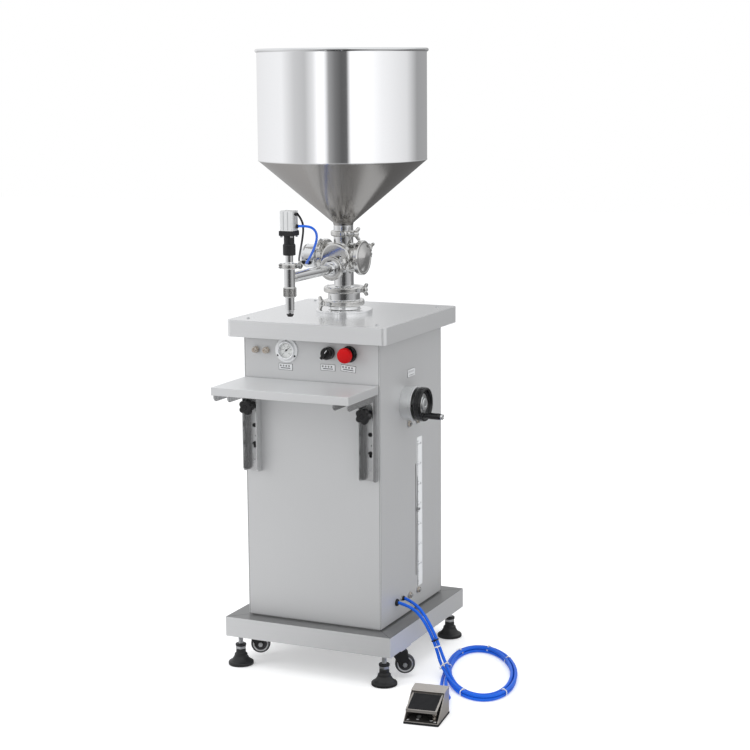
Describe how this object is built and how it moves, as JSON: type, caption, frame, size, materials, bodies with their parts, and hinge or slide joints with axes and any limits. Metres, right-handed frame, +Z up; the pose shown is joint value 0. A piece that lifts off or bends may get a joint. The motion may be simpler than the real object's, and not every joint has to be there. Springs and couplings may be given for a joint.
{
  "type": "piston liquid filler",
  "caption": "Pneumatic piston filler: open hopper, three-way valve, table, slim cabinet on feet and casters, shut-off nozzle, height-adjustable shelf, side handwheel and foot valve.",
  "frame": {"origin": "on the floor, under the common axis of hopper, valve and piston cylinder", "axes": "+X to the operator's right (handwheel side), +Y to the back of the machine, +Z up"},
  "size_m": [0.7357, 0.6778, 1.5325],
  "materials": {
    "satin_steel": "satin, fine grain",
    "polished_steel": "polished",
    "zinc_fittings": "zinc plated",
    "machined_aluminium": "anodised satin",
    "black_plastic": "moulded satin",
    "caster_tyre": "nylon",
    "gauge_glass": "clear",
    "needle_red": "satin",
    "stop_red": "gloss",
    "black_rubber": "ribbed",
    "blue_hose": "semi-clear polyurethane",
    "black_cable": "smooth jacket",
    "white_tie": "nylon"
  },
  "bodies": {
    "machine": {"base_frame": "satin_steel", "levelling_feet": "black_plastic", "cabinet_shell": "satin_steel", "rear_panel": "satin_steel", "table_top": "satin_steel", "screws": "polished_steel", "gauge_case": "black_plastic", "gauge_lens": "gauge_glass", "switch_bodies": "black_plastic", "panel_fittings": "machined_aluminium", "wheel_collar": "machined_aluminium", "adjust_bracket": "satin_steel", "scale_plate": "machined_aluminium", "product_cylinder": "polished_steel", "air_cylinder": "machined_aluminium", "support_columns": "satin_steel", "cylinder_cover": "polished_steel", "valve_body": "polished_steel", "valve_actuator": "machined_aluminium", "hopper": "polished_steel", "outlet_pipe": "polished_steel", "tri_clamps": "polished_steel", "nozzle_tube": "polished_steel", "nozzle_adapter": "black_plastic", "nozzle_cylinder": "machined_aluminium", "foot_mat": "black_rubber", "foot_housing": "satin_steel", "foot_air_valve": "machined_aluminium", "hose_a": "blue_hose", "hose_b": "blue_hose", "hose_loop": "blue_hose", "hose_ties": "white_tie", "nozzle_hose": "blue_hose", "nozzle_cable": "black_cable"},
    "shelf": {"shelf_tray": "satin_steel", "shelf_brackets": "satin_steel"},
    "knob_left": {"shelf_knob_l": "black_plastic"},
    "knob_right": {"shelf_knob_r": "black_plastic"},
    "gauge_hand": {"gauge_needle": "needle_red"},
    "selector": {"selector_knob": "black_plastic"},
    "stop": {"stop_button": "stop_red"},
    "adjusting_wheel": {"handwheel": "black_plastic"},
    "crank": {"crank_handle": "black_plastic"},
    "screw_shaft": {"leadscrew": "polished_steel"},
    "carriage": {"stroke_carriage": "satin_steel"},
    "piston_rod": {"piston": "polished_steel"},
    "valve_plug": {"valve_rotor": "polished_steel"},
    "nozzle_rod": {"nozzle_plunger": "polished_steel"},
    "treadle": {"pedal": "satin_steel", "pedal_pad": "black_rubber"},
    "caster_fl": {"caster_fork_fl": "zinc_fittings"},
    "wheel_fl": {"caster_wheel_fl": "caster_tyre"},
    "caster_fr": {"caster_fork_fr": "zinc_fittings"},
    "wheel_fr": {"caster_wheel_fr": "caster_tyre"},
    "caster_bl": {"caster_fork_bl": "zinc_fittings"},
    "wheel_bl": {"caster_wheel_bl": "caster_tyre"},
    "caster_br": {"caster_fork_br": "zinc_fittings"},
    "wheel_br": {"caster_wheel_br": "caster_tyre"}
  },
  "joints": [
    {"name": "shelf_height", "type": "slide", "parent": "machine", "child": "shelf", "axis": [0, 0, 1], "range_m": [-0.018, 0.035]},
    {"name": "knob_left_turn", "type": "hinge", "parent": "machine", "child": "knob_left", "pos_m": [-0.158, -0.22, 0.667], "axis": [0, 1, 0], "range_deg": [0, 720]},
    {"name": "knob_right_turn", "type": "hinge", "parent": "machine", "child": "knob_right", "pos_m": [0.158, -0.22, 0.667], "axis": [0, 1, 0], "range_deg": [0, 720]},
    {"name": "gauge_reading", "type": "hinge", "parent": "machine", "child": "gauge_hand", "pos_m": [-0.065, -0.191, 0.808], "axis": [0, 1, 0], "range_deg": [0, 270]},
    {"name": "selector_turn", "type": "hinge", "parent": "machine", "child": "selector", "pos_m": [0.05, -0.2, 0.808], "axis": [0, 1, 0], "range_deg": [-45, 45]},
    {"name": "stop_press", "type": "slide", "parent": "machine", "child": "stop", "axis": [0, 1, 0], "range_m": [0, 0.004]},
    {"name": "wheel_turn", "type": "hinge", "parent": "machine", "child": "adjusting_wheel", "pos_m": [0.2, -0.034, 0.668], "axis": [1, 0, 0], "range_deg": [-4000, 5900]},
    {"name": "crank_spin", "type": "hinge", "parent": "adjusting_wheel", "child": "crank", "pos_m": [0.25, -0.054, 0.644], "axis": [1, 0, 0], "continuous": true},
    {"name": "screw_turn", "type": "hinge", "parent": "machine", "child": "screw_shaft", "pos_m": [0.12, -0.034, 0.4], "axis": [0, 0, 1], "range_deg": [-4000, 5900]},
    {"name": "carriage_height", "type": "slide", "parent": "machine", "child": "carriage", "axis": [0, 0, 1], "range_m": [-0.165, 0.112]},
    {"name": "piston_stroke", "type": "slide", "parent": "machine", "child": "piston_rod", "axis": [0, 0, 1], "range_m": [-0.2, 0]},
    {"name": "valve_turn", "type": "hinge", "parent": "machine", "child": "valve_plug", "pos_m": [0, 0, 1.02], "axis": [1, 0, 0], "range_deg": [-90, 0]},
    {"name": "nozzle_open", "type": "slide", "parent": "machine", "child": "nozzle_rod", "axis": [0, 0, 1], "range_m": [0, 0.012], "stiffness_N_per_m": 1500, "springref_m": -0.006},
    {"name": "swivel_fl", "type": "hinge", "parent": "machine", "child": "caster_fl", "pos_m": [-0.202, -0.14, 0.07], "axis": [0, 0, 1], "continuous": true},
    {"name": "roll_fl", "type": "hinge", "parent": "caster_fl", "child": "wheel_fl", "pos_m": [-0.18384, -0.13161, 0.033], "axis": [-0.4195, 0.9078, 0], "continuous": true},
    {"name": "swivel_fr", "type": "hinge", "parent": "machine", "child": "caster_fr", "pos_m": [0.202, -0.14, 0.07], "axis": [0, 0, 1], "continuous": true},
    {"name": "roll_fr", "type": "hinge", "parent": "caster_fr", "child": "wheel_fr", "pos_m": [0.22016, -0.13161, 0.033], "axis": [-0.4195, 0.9078, 0], "continuous": true},
    {"name": "swivel_bl", "type": "hinge", "parent": "machine", "child": "caster_bl", "pos_m": [-0.115, 0.209, 0.07], "axis": [0, 0, 1], "continuous": true},
    {"name": "roll_bl", "type": "hinge", "parent": "caster_bl", "child": "wheel_bl", "pos_m": [-0.09684, 0.21739, 0.033], "axis": [-0.4195, 0.9078, 0], "continuous": true},
    {"name": "swivel_br", "type": "hinge", "parent": "machine", "child": "caster_br", "pos_m": [0.115, 0.209, 0.07], "axis": [0, 0, 1], "continuous": true},
    {"name": "roll_br", "type": "hinge", "parent": "caster_br", "child": "wheel_br", "pos_m": [0.13316, 0.21739, 0.033], "axis": [-0.4195, 0.9078, 0], "continuous": true},
    {"name": "pedal_press", "type": "hinge", "parent": "machine", "child": "treadle", "pos_m": [0.38232, -0.36116, 0.052], "axis": [0.9925, 0.1219, 0], "range_deg": [0, 8], "stiffness_Nm_per_rad": 2, "springref_deg": -6.88}
  ],
  "couplings": [
    {"joint": "screw_turn", "follows": "wheel_turn", "ratio": 1},
    {"joint": "carriage_height", "follows": "wheel_turn", "m_per_rad": -0.0015915}
  ]
}
